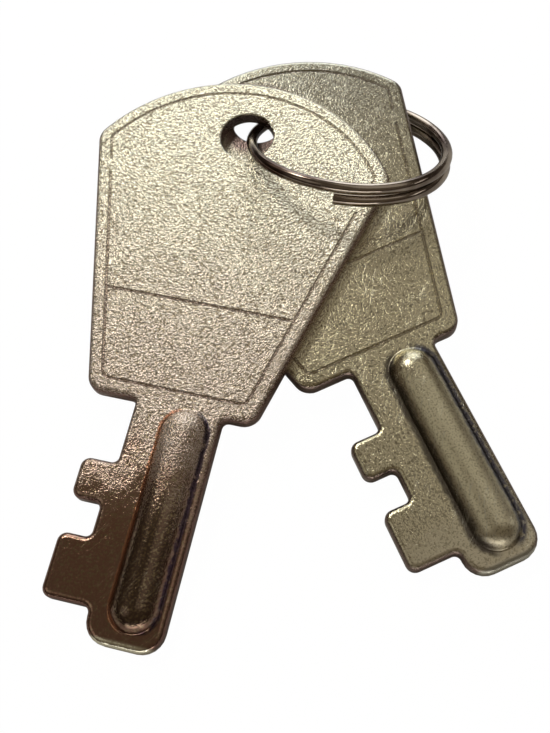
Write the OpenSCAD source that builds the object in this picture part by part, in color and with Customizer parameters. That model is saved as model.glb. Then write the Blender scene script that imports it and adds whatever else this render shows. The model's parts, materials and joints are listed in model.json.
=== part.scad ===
// A pair of identical stamped keys for a small lever lock, threaded on one split ring.
// They lie as they were put down: the front key's bow rests on the rear key's bow, the ring passes through
// both holes and round the rear key's edge, and its lower half props both bows up, so that the pair stands
// on three points: the bottom of the ring and the tip of each key.
// Origin: middle of the footprint, on the surface that they lie on. +Y points from the tips to the bows.
// Each key is drawn flat first: its hole is at the origin, its bow towards +Y and its face up.

/* [Sheet] */
// Thickness of the steel sheet
sheet_t = 1; // [0.8:0.1:1.4]
// Radius of the edge that the blanking die rolls over, round the upper face
edge_roll = 0.4; // [0.1:0.05:0.4]
// Bevel of the lower edge, where the burr is taken off
burr_break = 0.08; // [0.04:0.02:0.2]

/* [Bow] */
// Length of the bow, from the middle of its arched top to its base
bow_len = 24.3; // [20:0.1:30]
// Width of the bow across its top corners
bow_w = 20.6; // [17:0.1:23]
// Width of the bow across its base corners
bow_base_w = 10.8; // [9:0.1:14]
// How much lower the bow's base lies beside the blade's back edge than beside its teeth
base_step = 0.2; // [0.05:0.05:0.6]
// Radius of the bow's arched top
bow_top_r = 11.9; // [11.8:0.1:24]
// Radius of the bow's four corners
bow_corner_r = 1.1; // [0.6:0.1:2]
// Bore of the ring hole
hole_d = 3.6; // [3:0.1:5]
// Distance from the hole's centre to the middle of the arched top
hole_to_top = 4.4; // [3.6:0.1:6]
// Width of the rolled rim round the hole
hole_rim = 0.12; // [0.04:0.02:0.3]

/* [Border line] */
// Distance from the bow's edge to the coined border line
line_inset = 0.85; // [0.6:0.05:2]
// Width of the coined lines
line_w = 0.24; // [0.15:0.01:0.5]
// Depth of the coined lines
line_depth = 0.12; // [0.05:0.01:0.3]
// Least radius of the lines' corners
line_corner_r = 0.3; // [0.1:0.05:1]
// Height of the lower panel that the divider line closes off
panel_h = 6.2; // [3:0.1:9]
// Length of the gap in the border line on each side of the bow
line_gap = 1; // [0.4:0.1:3]
// Distance from the hole's centre down to the middle of those gaps
line_gap_at = 3.9; // [2:0.1:8]

/* [Blade] */
// Length of the blade, from the bow's base to the tip
blade_len = 14.7; // [14.6:0.1:20]
// Distance from the key's centre line to the blade's straight back edge
back_x = 3.44; // [3:0.02:4.4]
// Width of the neck, between the bow and the first tooth
neck_w = 5.6; // [4.8:0.1:7]
// Length of the neck
neck_len = 4.2; // [3:0.1:6]
// Length of the first tooth
tooth_1_len = 2.6; // [1.8:0.1:3.5]
// Reach of the first tooth, past the neck
tooth_1_reach = 2.2; // [1.4:0.1:3]
// Length of the notch between the teeth
notch_len = 2.1; // [1.5:0.1:3]
// Distance of the notch's floor past the neck
notch_rise = 0.25; // [0.1:0.05:0.8]
// Length of the second tooth
tooth_2_len = 3.9; // [3:0.1:5]
// Reach of the second tooth, past the neck
tooth_2_reach = 2.2; // [1.4:0.1:3]
// Width of the narrowed tip
tip_w = 4.7; // [4:0.1:5.4]
// Radius of the tip's two corners
tip_r = 1.4; // [0.8:0.1:1.5]
// Radius of the corners of the teeth
tooth_corner_r = 0.6; // [0.5:0.05:0.8]
// Radius of the inner corners between the teeth and under the bow
inner_corner_r = 0.4; // [0.2:0.05:0.8]

/* [Rib] */
// Width of the pressed rib, where it leaves the face
rib_w = 3; // [2.4:0.1:3.2]
// Height of the rib above the face
rib_h = 1.05; // [0.5:0.05:1.5]
// Width of the flat left between the rib and the blade's back edge
rib_ledge = 0.55; // [0.5:0.05:1]
// Distance from the bow's base to the upper end of the rib
rib_start = 0.1; // [0:0.1:2]
// Distance from the rib's lower end to the tip
rib_end = 0.9; // [0.6:0.1:2.5]
// Radius at the rib's foot, where it leaves the face
rib_foot_r = 0.15; // [0.05:0.05:0.2]
// Thickness of the sheet where the rib is drawn up
rib_wall = 0.75; // [0.5:0.05:0.9]
// Bevel round the rib's hollow, on the key's back
rib_mouth = 0.15; // [0.05:0.05:0.3]

/* [Split ring] */
// Diameter of the ring's wire
wire_d = 0.75; // [0.5:0.05:0.9]
// Gap between the ring's two turns
turn_gap = 0.08; // [0.05:0.01:0.2]
// Gap between the ring and the rear key's edge, where the ring passes round it
ring_play = 0.2; // [0.1:0.05:1]
// Angle between the ring and the keys
ring_lean = 31; // [30:1:60]
// Turn of the ring's cut outer end, from the holes over the front key
outer_end = 94; // [70:1:120]
// Gap between the ring's other cut end and the rear key's back
end_gap = 0.12; // [0.05:0.01:0.5]

/* [How the pair lies] */
// Turn of the front key about its hole, to the right at its bow
front_turn = 15; // [8:1:40]
// Turn of the rear key about its hole, to the left at its bow
rear_turn = 22; // [16:1:26]
// Turn of the ring's diameter about the holes, to the right
ring_turn = 17; // [0:1:18]
// Gap between the two keys' faces
key_gap = 0.1; // [0.05:0.01:0.2]
// Gap between the wire and the wall of each hole, where it bears
hole_gap = 0.08; // [0.05:0.01:0.15]
// Share of the wire's play in the front key's hole that it has moved, towards the bow's top
front_lift = 0.85; // [0:0.05:1]
// Share of the wire's play in the rear key's hole that it has moved, towards the bow's base
rear_drop = 0.95; // [0:0.05:1]

/* [Hidden] */

bore_fn = 64;
corner_steps = 5;
arc_steps = 16;
roll_steps = 4;
end_steps = 12;
crown_steps = 6;
foot_steps = 2;
foot_angle = 20;
crown_angle = 78;
wire_sides = 12;
least_area = 0.000001;
ring_steps = 110;
settle_rounds = 8;
cut = 1;

// Plane geometry

function unit(v) = v / norm(v);
function spin(p, a) = [p.x * cos(a) - p.y * sin(a), p.x * sin(a) + p.y * cos(a)];
function turn_of(a, b) = sign(a.x * b.y - a.y * b.x);

// Points of the arc that rounds corner b between corners a and c, each an [x, y, radius].
// A corner without a radius stays one point.
function corner(a, b, c) =
    let (
        p = [b.x, b.y],
        u = unit([a.x, a.y] - p),
        w = unit([c.x, c.y] - p),
        half = acos(u * w) / 2,
        reach = b[2] / tan(half),
        middle = p + unit(u + w) * b[2] / sin(half),
        from = p + u * reach - middle,
        to = p + w * reach - middle,
        sweep = (180 - 2 * half) * turn_of(from, to)
    )
    b[2] == 0 ? [p] : [for (k = [0:corner_steps]) middle + spin(from, sweep * k / corner_steps)];

// A closed outline from its list of corners
function rounded(corners) =
    let (n = len(corners))
    [for (i = [0:n - 1]) each corner(corners[(i + n - 1) % n], corners[i], corners[(i + 1) % n])];

// The same outline, drawn in by e on every side
function inset(pts, e) =
    let (n = len(pts))
    [for (i = [0:n - 1])
        let (
            before = unit(pts[i] - pts[(i + n - 1) % n]),
            after = unit(pts[(i + 1) % n] - pts[i]),
            na = [-before.y, before.x],
            nb = [-after.y, after.x]
        )
        pts[i] + (na + nb) * e / (1 + na * nb)];

// An outline filled with triangles: corners that stick out and hold no other point are cut off one by one
function twice_area(a, b, c) = (b.x - a.x) * (c.y - a.y) - (b.y - a.y) * (c.x - a.x);
function sticks_out(pts, left, i) =
    let (n = len(left), a = pts[left[(i + n - 1) % n]], b = pts[left[i]], c = pts[left[(i + 1) % n]])
    twice_area(a, b, c) > least_area
    && len([for (j = [2:n - 2])
        let (p = pts[left[(i + j) % n]])
        if (min(twice_area(a, b, p), twice_area(b, c, p), twice_area(c, a, p)) > -least_area) j]) == 0;
function next_out(pts, left, i) = sticks_out(pts, left, i) ? i : next_out(pts, left, i + 1);
function filled(pts, left) =
    let (n = len(left))
    n == 3 ? [left] :
    let (i = next_out(pts, left, 0))
    concat(
        [[left[(i + n - 1) % n], left[i], left[(i + 1) % n]]],
        filled(pts, [for (k = [1:n - 1]) left[(i + k) % n]])
    );

// The outline of a key

base_y = hole_to_top - bow_len;
back_base_y = base_y - base_step;
arch_y = hole_to_top - bow_top_r;
arch_half = asin(bow_w / 2 / bow_top_r);
shoulder_y = arch_y + bow_top_r * cos(arch_half);
neck_x = back_x - neck_w;
tooth_1_top = base_y - neck_len;
tooth_1_foot = tooth_1_top - tooth_1_len;
tooth_2_top = tooth_1_foot - notch_len;
tooth_2_foot = tooth_2_top - tooth_2_len;
tip_y = base_y - blade_len;
roll = min(edge_roll, 0.7 * tooth_corner_r, sheet_t / 2);

arch = [for (k = [1:arc_steps - 1])
    let (a = arch_half * (1 - 2 * k / arc_steps)) [bow_top_r * sin(a), arch_y + bow_top_r * cos(a), 0]];

bow_sides = concat(
    [[bow_base_w / 2, back_base_y, bow_corner_r], [bow_w / 2, shoulder_y, bow_corner_r]],
    arch,
    [[-bow_w / 2, shoulder_y, bow_corner_r], [-bow_base_w / 2, base_y, bow_corner_r]]
);

blade_sides = [
    [neck_x, base_y, inner_corner_r],
    [neck_x, tooth_1_top, inner_corner_r],
    [neck_x - tooth_1_reach, tooth_1_top, tooth_corner_r],
    [neck_x - tooth_1_reach, tooth_1_foot, tooth_corner_r],
    [neck_x - notch_rise, tooth_1_foot, inner_corner_r],
    [neck_x - notch_rise, tooth_2_top, inner_corner_r],
    [neck_x - tooth_2_reach, tooth_2_top, tooth_corner_r],
    [neck_x - tooth_2_reach, tooth_2_foot, tooth_corner_r],
    [back_x - tip_w, tooth_2_foot, inner_corner_r],
    [back_x - tip_w, tip_y, tip_r],
    [back_x, tip_y, tip_r],
    [back_x, back_base_y, inner_corner_r]
];

outline = rounded(concat(bow_sides, blade_sides));
bow_outline = rounded(bow_sides);

// Height and inset of each layer of points round the key's edge: burr bevel, side, then the roll
edge_layers = concat(
    [[0, burr_break], [burr_break, 0]],
    [for (k = [0:roll_steps])
        let (a = 90 * k / roll_steps) [sheet_t - roll + roll * sin(a), roll * (1 - cos(a))]]
);

// Places in the pair: flat key to keys' frame, where the wire crosses the gap between the keys at the origin

wire_half = wire_d / 2;
between = (sheet_t + key_gap) / 2;
slant = between / tan(ring_lean);

// How far the leaning wire's middle may lie from a hole's centre: at the key's faces, and halfway
room = hole_d / 2 - hole_gap - wire_half / sin(ring_lean);
run = sheet_t / 2 / tan(ring_lean);
play = room - run;
// How far aside it lies where it bears on the wall, moved by y along the hole
function aside(y) = sqrt(room * room - (run + y) * (run + y));

front_hole = spin([-aside(front_lift * play), -slant - front_lift * play], -ring_turn);
rear_hole = spin([-aside(rear_drop * play), slant + rear_drop * play], -ring_turn);
front_z = key_gap / 2;
rear_z = -key_gap / 2 - sheet_t;

function front_point(p) =
    let (q = spin(p, -front_turn)) [q.x + front_hole.x, q.y + front_hole.y, p.z + front_z];
function rear_point(p) =
    let (q = spin(p, rear_turn)) [q.x + rear_hole.x, q.y + rear_hole.y, p.z + rear_z];

// The ring, from the rear key's edge that it goes round

pitch = wire_d + turn_gap;
ring_band = run + (wire_half + pitch) / sin(ring_lean);
rear_seen = [for (p = outline) let (q = rear_point([p.x, p.y, 0])) spin([q.x, q.y], ring_turn)];

// Furthest reach in x of a closed outline between two levels of y
function reach(pts, low, high) =
    max([for (i = [0:len(pts) - 1])
        let (a = pts[i], b = pts[(i + 1) % len(pts)])
        for (y = [low, high, min(max(a.y, low), high)])
            if ((a.y - y) * (b.y - y) <= 0 && a.y != b.y) a.x + (b.x - a.x) * (y - a.y) / (b.y - a.y)]);

ring_r = (reach(rear_seen, slant - ring_band, slant + ring_band) + ring_play + wire_half) / 2;

// Turn of the inner end, from the holes: far enough round to lie wholly below the rear key
inner_drop = key_gap / 2 + sheet_t + end_gap + wire_half + pitch * cos(ring_lean);
inner_end = asin(inner_drop / (ring_r * sin(ring_lean)));
cross_from = -inner_end;
cross_span = outer_end + inner_end;
first_turn = outer_end - 360;

// Share of the climb from one layer to the other, smooth at both ends
function climb(t) = t <= 0 ? 0 : t >= 1 ? 1 : t * t * (3 - 2 * t);
// Place across the ring's thickness of the wire at turn a
function layer(a) = pitch * (0.5 - climb((a - cross_from) / cross_span));

ring_up = [0, -cos(ring_lean), sin(ring_lean)];
ring_axis = [0, -sin(ring_lean), -cos(ring_lean)];
function ring_out(a) = [-cos(a), 0, 0] + sin(a) * ring_up;
function ring_middle(a) = [ring_r, 0, 0] + ring_r * ring_out(a) + (layer(a) - layer(0)) * ring_axis;
function in_pair(v) = let (q = spin(v, -ring_turn)) [q.x, q.y, v.z];

ring_turns = [for (k = [0:ring_steps]) first_turn + (720 - cross_span) * k / ring_steps];
ring_points = [for (a = ring_turns) for (j = [0:wire_sides - 1])
    let (b = 360 * j / wire_sides)
    in_pair(ring_middle(a) + wire_half * (cos(b) * ring_out(a) + sin(b) * ring_axis))];
ring_faces = concat(
    [[for (j = [0:wire_sides - 1]) j]],
    [for (k = [0:ring_steps - 1]) for (j = [0:wire_sides - 1])
        let (n = (j + 1) % wire_sides)
        [k * wire_sides + j, (k + 1) * wire_sides + j, (k + 1) * wire_sides + n, k * wire_sides + n]],
    [[for (j = [wire_sides - 1:-1:0]) ring_steps * wire_sides + j]]
);

// Least gap between the two turns: each point of the wire's middle against those nearly a turn further on
least_turn_gap = min([for (a = ring_turns) for (b = ring_turns)
    if (b > a + 180) norm(ring_middle(a) - ring_middle(b)) - wire_d]);
echo(least_gap_between_turns_mm = least_turn_gap, ring_outer_diameter_mm = 2 * ring_r + wire_d);

// How the pair comes to rest: turned about Y and then about X until its three lowest points are level

function banked(p, g) = [p.x * cos(g) + p.z * sin(g), p.y, p.z * cos(g) - p.x * sin(g)];
function lifted(p, a) = [p.x, p.y * cos(a) - p.z * sin(a), p.y * sin(a) + p.z * cos(a)];
function tilted(p, t) = lifted(banked(p, t[0]), t[1]);
function lowest(pts, t) = let (z = [for (p = pts) tilted(p, t).z], i = search(min(z), z)[0]) pts[i];

front_edge = [for (l = edge_layers) for (p = inset(outline, l[1])) front_point([p.x, p.y, l[0]])];
rear_edge = [for (l = edge_layers) for (p = inset(outline, l[1])) rear_point([p.x, p.y, l[0]])];

// Bank and lift that bring the plane through three points level
function level(a, b, c) =
    let (
        n = cross(b - a, c - a),
        up = n.z < 0 ? -n : n,
        bank = -atan(up.x / up.z),
        raised = banked(up, bank)
    )
    [bank, atan2(raised.y, raised.z)];
function settle(t, k) =
    k == 0 ? t : settle(level(lowest(ring_points, t), lowest(front_edge, t), lowest(rear_edge, t)), k - 1);

rest = settle([0, 0], settle_rounds);
all_points = [for (p = concat(ring_points, front_edge, rear_edge)) tilted(p, rest)];
xs = [for (p = all_points) p.x];
ys = [for (p = all_points) p.y];
zs = [for (p = all_points) p.z];
shift = [-(min(xs) + max(xs)) / 2, -(min(ys) + max(ys)) / 2, -min(zs)];

echo(front_pivot_mm = tilted([front_hole.x, front_hole.y, between], rest) + shift);
echo(rear_pivot_mm = tilted([rear_hole.x, rear_hole.y, -between], rest) + shift);
echo(pivot_axis = tilted([0, 0, 1], rest), size_mm = [max(xs) - min(xs), max(ys) - min(ys), max(zs) - min(zs)]);

// Placing

module at_rest() {
    translate(shift) rotate([rest[1], 0, 0]) rotate([0, rest[0], 0]) children();
}

module front_place() {
    at_rest() translate([front_hole.x, front_hole.y, front_z]) rotate([0, 0, -front_turn]) children();
}

module rear_place() {
    at_rest() translate([rear_hole.x, rear_hole.y, rear_z]) rotate([0, 0, rear_turn]) children();
}

// A solid through layers of points, each layer as many points as the one under it

module loft(layers) {
    n = len(layers[0]);
    top = len(layers) - 1;
    cap = filled(layers[0], [for (i = [0:n - 1]) i]);
    polyhedron(
        points = [for (l = layers) each l],
        faces = concat(
            cap,
            [for (k = [0:top - 1]) for (i = [0:n - 1])
                let (j = (i + 1) % n) [k * n + i, (k + 1) * n + i, (k + 1) * n + j, k * n + j]],
            [for (t = cap) [t[2] + top * n, t[1] + top * n, t[0] + top * n]]
        )
    );
}

module blank() {
    loft([for (l = edge_layers) [for (p = inset(outline, l[1])) [p.x, p.y, l[0]]]]);
}

// The rib: a bar with round ends and an arched crown, and the hollow that the press leaves behind it

rib_r = (rib_h * rib_h + rib_w * rib_w / 4) / (2 * rib_h);
rib_x = back_x - rib_ledge - rib_w / 2;
rib_z = sheet_t + rib_h - rib_r;
rib_top_y = base_y - rib_start - rib_w / 2;
rib_foot_y = tip_y + rib_end + rib_w / 2;

// Where the foot's radius is centred, and the turn at which it meets the crown
foot_z = sheet_t + rib_foot_r;
foot_x = sqrt(pow(rib_r + rib_foot_r, 2) - pow(foot_z - rib_z, 2));
meet = atan2(foot_z - rib_z, foot_x);
foot_end = 90 - meet;
toe_x = foot_x - rib_foot_r * sin(foot_angle);
toe_z = foot_z - rib_foot_r * cos(foot_angle);
toe_dip = 0.03;

// Height and half width of each layer of the rib and of its hollow
rib_layers = concat(
    [[sheet_t / 2, toe_x], [sheet_t - toe_dip, toe_x + (toe_z - sheet_t + toe_dip) / tan(foot_angle)]],
    [for (k = [0:foot_steps])
        let (b = foot_angle + (foot_end - foot_angle) * k / foot_steps)
        [foot_z - rib_foot_r * cos(b), foot_x - rib_foot_r * sin(b)]],
    [for (k = [1:crown_steps])
        let (a = meet + (crown_angle - meet) * k / crown_steps) [rib_z + rib_r * sin(a), rib_r * cos(a)]]
);
hollow_r = rib_r - rib_wall;
hollow_layers = concat(
    [[-cut, hollow_r + rib_mouth + cut], [rib_mouth, hollow_r]],
    [for (k = [0:crown_steps])
        let (a = crown_angle * k / crown_steps) [rib_z + hollow_r * sin(a), hollow_r * cos(a)]]
);

// The round-ended outline of one layer
function bar(z, half) = concat(
    [for (k = [0:end_steps]) let (a = 180 * k / end_steps) [rib_x + half * cos(a), rib_top_y + half * sin(a), z]],
    [for (k = [0:end_steps]) let (a = 180 * k / end_steps) [rib_x - half * cos(a), rib_foot_y - half * sin(a), z]]
);

module rib() {
    loft([for (l = rib_layers) bar(l[0], l[1])]);
}

module rib_hollow() {
    loft([for (l = hollow_layers) bar(l[0], l[1])]);
}

// The bore, with the rim that the punch rolls over

module ring_bore() {
    translate([0, 0, -cut]) cylinder(d = hole_d, h = sheet_t + 2 * cut, $fn = bore_fn);
    translate([0, 0, sheet_t - hole_rim])
        cylinder(d1 = hole_d, d2 = hole_d + 4 * hole_rim, h = 2 * hole_rim, $fn = bore_fn);
}

// The coined lines: a border that follows the bow and is broken once on each side, and a divider

bow_corners = [for (p = bow_sides) [p.x, p.y]];
function line_outline(e) =
    let (pts = inset(bow_corners, e))
    rounded([for (i = [0:len(pts) - 1])
        [pts[i].x, pts[i].y, bow_sides[i][2] == 0 ? 0 : max(bow_corner_r - e, line_corner_r)]]);

module coined_lines() {
    floor_z = sheet_t - line_depth;
    divider_y = base_y + line_inset + panel_h;
    difference() {
        translate([0, 0, floor_z]) linear_extrude(cut) polygon(line_outline(line_inset));
        difference() {
            translate([0, 0, floor_z - cut]) linear_extrude(3 * cut) polygon(line_outline(line_inset + line_w));
            translate([-bow_w, divider_y, floor_z - cut]) cube([2 * bow_w, line_w, 3 * cut]);
        }
        translate([-bow_w, -line_gap_at - line_gap / 2, floor_z - cut]) cube([2 * bow_w, line_gap, 3 * cut]);
    }
}

module key() {
    difference() {
        union() {
            blank();
            rib();
        }
        ring_bore();
        rib_hollow();
        coined_lines();
    }
}

// Sub-parts

module front_key() {
    color([0.78, 0.75, 0.62]) front_place() key();
}

module rear_key() {
    color([0.66, 0.64, 0.52]) rear_place() key();
}

module split_ring() {
    color([0.42, 0.37, 0.38]) at_rest() polyhedron(points = ring_points, faces = ring_faces);
}

front_key();
rear_key();
split_ring();
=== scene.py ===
"""A pair of stamped keys on a split ring: pieces, finishes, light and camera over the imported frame."""

import json
import logging
import math
from collections.abc import Callable, Iterator, Sequence
from contextlib import contextmanager
from dataclasses import dataclass
from enum import Enum
from itertools import accumulate, pairwise

import bmesh
import bpy
from mathutils import Matrix, Vector


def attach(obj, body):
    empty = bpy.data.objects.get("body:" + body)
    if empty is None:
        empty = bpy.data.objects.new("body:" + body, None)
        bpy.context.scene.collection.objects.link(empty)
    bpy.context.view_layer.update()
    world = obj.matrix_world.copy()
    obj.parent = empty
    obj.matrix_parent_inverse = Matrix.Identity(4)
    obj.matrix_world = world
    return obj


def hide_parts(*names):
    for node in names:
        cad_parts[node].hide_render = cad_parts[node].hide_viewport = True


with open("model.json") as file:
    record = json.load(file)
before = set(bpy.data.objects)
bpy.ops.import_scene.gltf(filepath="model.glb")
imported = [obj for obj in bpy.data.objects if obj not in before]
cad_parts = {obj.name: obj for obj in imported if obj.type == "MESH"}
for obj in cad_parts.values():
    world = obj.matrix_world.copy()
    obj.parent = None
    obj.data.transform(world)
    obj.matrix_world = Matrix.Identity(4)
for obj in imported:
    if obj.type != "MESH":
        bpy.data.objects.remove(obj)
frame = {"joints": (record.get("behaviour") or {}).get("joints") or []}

logging.basicConfig(level=logging.INFO, format="%(message)s")
LOG = logging.getLogger("keys")

MM = 0.001
Piece = bpy.types.Object
Socket = bpy.types.NodeSocket
Point = tuple[float, float]
Spot = tuple[float, float, float]
Color = Spot

WHITE: Color = (1.0, 1.0, 1.0)
# How near a part has to lie to the place that it is picked by, in millimetres
NEAR = 0.01
# The least part of a level face's normal that points straight up or down
LEVEL = 0.9


class Combine(Enum):
    """How a tool's shape acts on the piece that it meets."""

    JOIN = "UNION"
    CUT = "DIFFERENCE"


# Sizes


@dataclass(frozen=True)
class KeySizes:
    """Sizes of a key in millimetres, drawn flat with its ring hole at the origin and its bow towards +Y."""

    sheet: float = 1.0
    roll: float = 0.4
    burr: float = 0.08
    bow_len: float = 24.3
    bow_w: float = 20.6
    bow_base_w: float = 10.8
    base_step: float = 0.2
    bow_top_r: float = 11.9
    bow_corner_r: float = 1.1
    hole_d: float = 3.6
    hole_to_top: float = 4.4
    hole_rim: float = 0.14
    line_inset: float = 0.85
    line_w: float = 0.24
    line_depth: float = 0.09
    line_corner_r: float = 0.45
    panel_h: float = 6.2
    line_gap: float = 1.0
    line_gap_at: float = 3.9
    blade_len: float = 14.7
    back_x: float = 3.44
    neck_w: float = 5.6
    neck_len: float = 4.2
    tooth_1_len: float = 2.6
    tooth_1_reach: float = 2.2
    notch_len: float = 2.1
    notch_rise: float = 0.25
    tooth_2_len: float = 3.9
    tooth_2_reach: float = 2.2
    tip_w: float = 4.7
    tip_r: float = 1.4
    tooth_r: float = 0.6
    inner_r: float = 0.4
    rib_w: float = 3.0
    rib_h: float = 1.05
    rib_ledge: float = 0.55
    rib_start: float = 0.1
    rib_end: float = 0.9
    rib_foot_r: float = 0.18
    rib_wall: float = 0.75
    rib_mouth: float = 0.15

    @property
    def base_y(self) -> float:
        """Level of the bow's base."""
        return self.hole_to_top - self.bow_len

    @property
    def tip_y(self) -> float:
        """Level of the blade's end."""
        return self.base_y - self.blade_len

    @property
    def arch_y(self) -> float:
        """Level of the middle of the arched top's circle."""
        return self.hole_to_top - self.bow_top_r

    @property
    def arch_half(self) -> float:
        """Half of the arched top's angle, in radians."""
        return math.asin(self.bow_w / 2 / self.bow_top_r)

    @property
    def shoulder_y(self) -> float:
        """Level of the bow's top corners."""
        return self.arch_y + self.bow_top_r * math.cos(self.arch_half)

    @property
    def neck_x(self) -> float:
        """Place of the neck's toothed side."""
        return self.back_x - self.neck_w

    @property
    def tip_x(self) -> float:
        """Place of the narrowed tip's toothed side."""
        return self.back_x - self.tip_w

    @property
    def levels(self) -> list[float]:
        """Levels of the bow's base and of the low ends of the neck, tooth 1, the notch and tooth 2."""
        rows = (self.neck_len, self.tooth_1_len, self.notch_len, self.tooth_2_len)
        return list(accumulate(rows, lambda level, row: level - row, initial=self.base_y))

    @property
    def rib_x(self) -> float:
        """Place of the rib's middle line."""
        return self.back_x - self.rib_ledge - self.rib_w / 2

    @property
    def rib_top(self) -> float:
        """Level of the middle of the rib's upper round end."""
        return self.base_y - self.rib_start - self.rib_w / 2

    @property
    def rib_low(self) -> float:
        """Level of the middle of the rib's lower round end."""
        return self.tip_y + self.rib_end + self.rib_w / 2


# Modelling helpers


def clear_selection() -> None:
    """Leave edit mode and deselect every object."""
    if bpy.context.object and bpy.context.object.mode != "OBJECT":
        bpy.ops.object.mode_set(mode="OBJECT")
    bpy.ops.object.select_all(action="DESELECT")


def choose(piece: Piece) -> None:
    """Make one object the only selected and the active one.

    Args:
        piece: The object to work on.
    """
    clear_selection()
    piece.select_set(True)
    bpy.context.view_layer.objects.active = piece


@contextmanager
def shaping(piece: Piece, mode: str = "FACE") -> Iterator[None]:
    """Open one mesh in edit mode with everything in it selected, and close edit mode at the end.

    Args:
        piece: The mesh object.
        mode: VERT, EDGE or FACE selection.
    """
    choose(piece)
    bpy.ops.object.mode_set(mode="EDIT")
    bpy.ops.mesh.select_mode(type=mode)
    bpy.ops.mesh.select_all(action="SELECT")
    yield
    bpy.ops.object.mode_set(mode="OBJECT")


def pick(piece: Piece, mode: str, wanted: Callable[[Vector, Vector], bool]) -> None:
    """Select parts of a mesh that is open in edit mode, by their place.

    Args:
        piece: The mesh object.
        mode: VERT, EDGE or FACE.
        wanted: Test of a part's middle and its direction: a face's normal, an edge's run, a vertex's normal.
    """
    bpy.ops.mesh.select_mode(type=mode)
    bpy.ops.mesh.select_all(action="DESELECT")
    shape = bmesh.from_edit_mesh(piece.data)
    if mode == "VERT":
        parts = [(v, v.co, v.normal) for v in shape.verts]
    elif mode == "EDGE":
        parts = [(e, (e.verts[0].co + e.verts[1].co) / 2, e.verts[1].co - e.verts[0].co) for e in shape.edges]
    else:
        parts = [(f, f.calc_center_median(), f.normal) for f in shape.faces]
    for part, middle, way in parts:
        if wanted(middle, way):
            part.select_set(True)
    shape.select_flush_mode()
    bmesh.update_edit_mesh(piece.data)


def add_shape(
    kind: Callable[..., set[str]], name: str, scale: Sequence[float] = (1.0, 1.0, 1.0), **settings: object
) -> Piece:
    """Add a primitive mesh and bake its place, turn and scale into it.

    Args:
        kind: The operator that adds it.
        name: The object's name.
        scale: Its scale.
        settings: The operator's own settings.

    Returns:
        The object.
    """
    clear_selection()
    kind(**settings)
    made = bpy.context.object
    made.name = name
    made.scale = scale
    bpy.ops.object.transform_apply(location=True, rotation=True, scale=True)
    return made


def face_outwards() -> None:
    """Select the whole mesh that is open in edit mode and turn its faces outwards."""
    bpy.ops.mesh.select_all(action="SELECT")
    bpy.ops.mesh.normals_make_consistent(inside=False)


def extrude_by(x: float = 0.0, y: float = 0.0, z: float = 0.0) -> None:
    """Extrude what is selected and move it.

    Args:
        x: Move along X.
        y: Move along Y.
        z: Move along Z.
    """
    bpy.ops.mesh.extrude_region_move(TRANSFORM_OT_translate={"value": (x, y, z)})


def press(layers: Sequence[Point]) -> None:
    """Shape the selected face as a press does, in one inset with depth for each step of a profile.

    Args:
        layers: Half width and height at each layer, the first where the face lies now.
    """
    for (half, height), (next_half, next_height) in pairwise(layers):
        bpy.ops.mesh.inset(
            thickness=half - next_half, depth=next_height - height, use_boundary=True, use_even_offset=True
        )


def arc(middle: Point, radius: float, start: float, end: float, steps: int) -> list[Point]:
    """Give the points of an arc, as layers of a profile.

    Args:
        middle: The arc's middle.
        radius: Its radius.
        start: Angle of its first point, in radians from the first axis.
        end: Angle of its last point.
        steps: How many edges it has.

    Returns:
        The points.
    """
    turns = [start + (end - start) * k / steps for k in range(steps + 1)]
    return [(middle[0] + radius * math.cos(turn), middle[1] + radius * math.sin(turn)) for turn in turns]


def combine(piece: Piece, tool: Piece, way: Combine) -> None:
    """Join a tool to a piece or cut it out, and delete the tool.

    Args:
        piece: The object that changes.
        tool: The closed mesh that acts on it.
        way: Join or cut.
    """
    choose(piece)
    step = piece.modifiers.new(tool.name, "BOOLEAN")
    step.operation = way.value
    step.solver = "EXACT"
    step.object = tool
    bpy.ops.object.modifier_apply(modifier=step.name)
    bpy.data.objects.remove(tool, do_unlink=True)


def copy_of(piece: Piece, name: str) -> Piece:
    """Duplicate an object with its own mesh.

    Args:
        piece: The object to copy.
        name: The copy's name.

    Returns:
        The copy.
    """
    choose(piece)
    bpy.ops.object.duplicate(linked=False)
    made = bpy.context.object
    made.name = name
    return made


def smooth(piece: Piece, degrees: float) -> None:
    """Shade a piece smooth, with its flats kept flat and its sharp edges sharp.

    Args:
        piece: The mesh object.
        degrees: Edges that turn more than this stay sharp.
    """
    choose(piece)
    bpy.ops.object.shade_smooth_by_angle(angle=math.radians(degrees))
    step = piece.modifiers.new("flats", "WEIGHTED_NORMAL")
    step.keep_sharp = True
    step.weight = 80
    bpy.ops.object.modifier_apply(modifier=step.name)


def put(piece: Piece, place: Matrix) -> None:
    """Place a piece and bake the place into its mesh, so that its object stays at the origin.

    Args:
        piece: The mesh object, drawn in millimetres.
        place: Its drawing's frame in the row's frame, in metres.
    """
    choose(piece)
    piece.matrix_world = place
    bpy.ops.object.transform_apply(location=True, rotation=True, scale=True)


# Shader helpers


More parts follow.
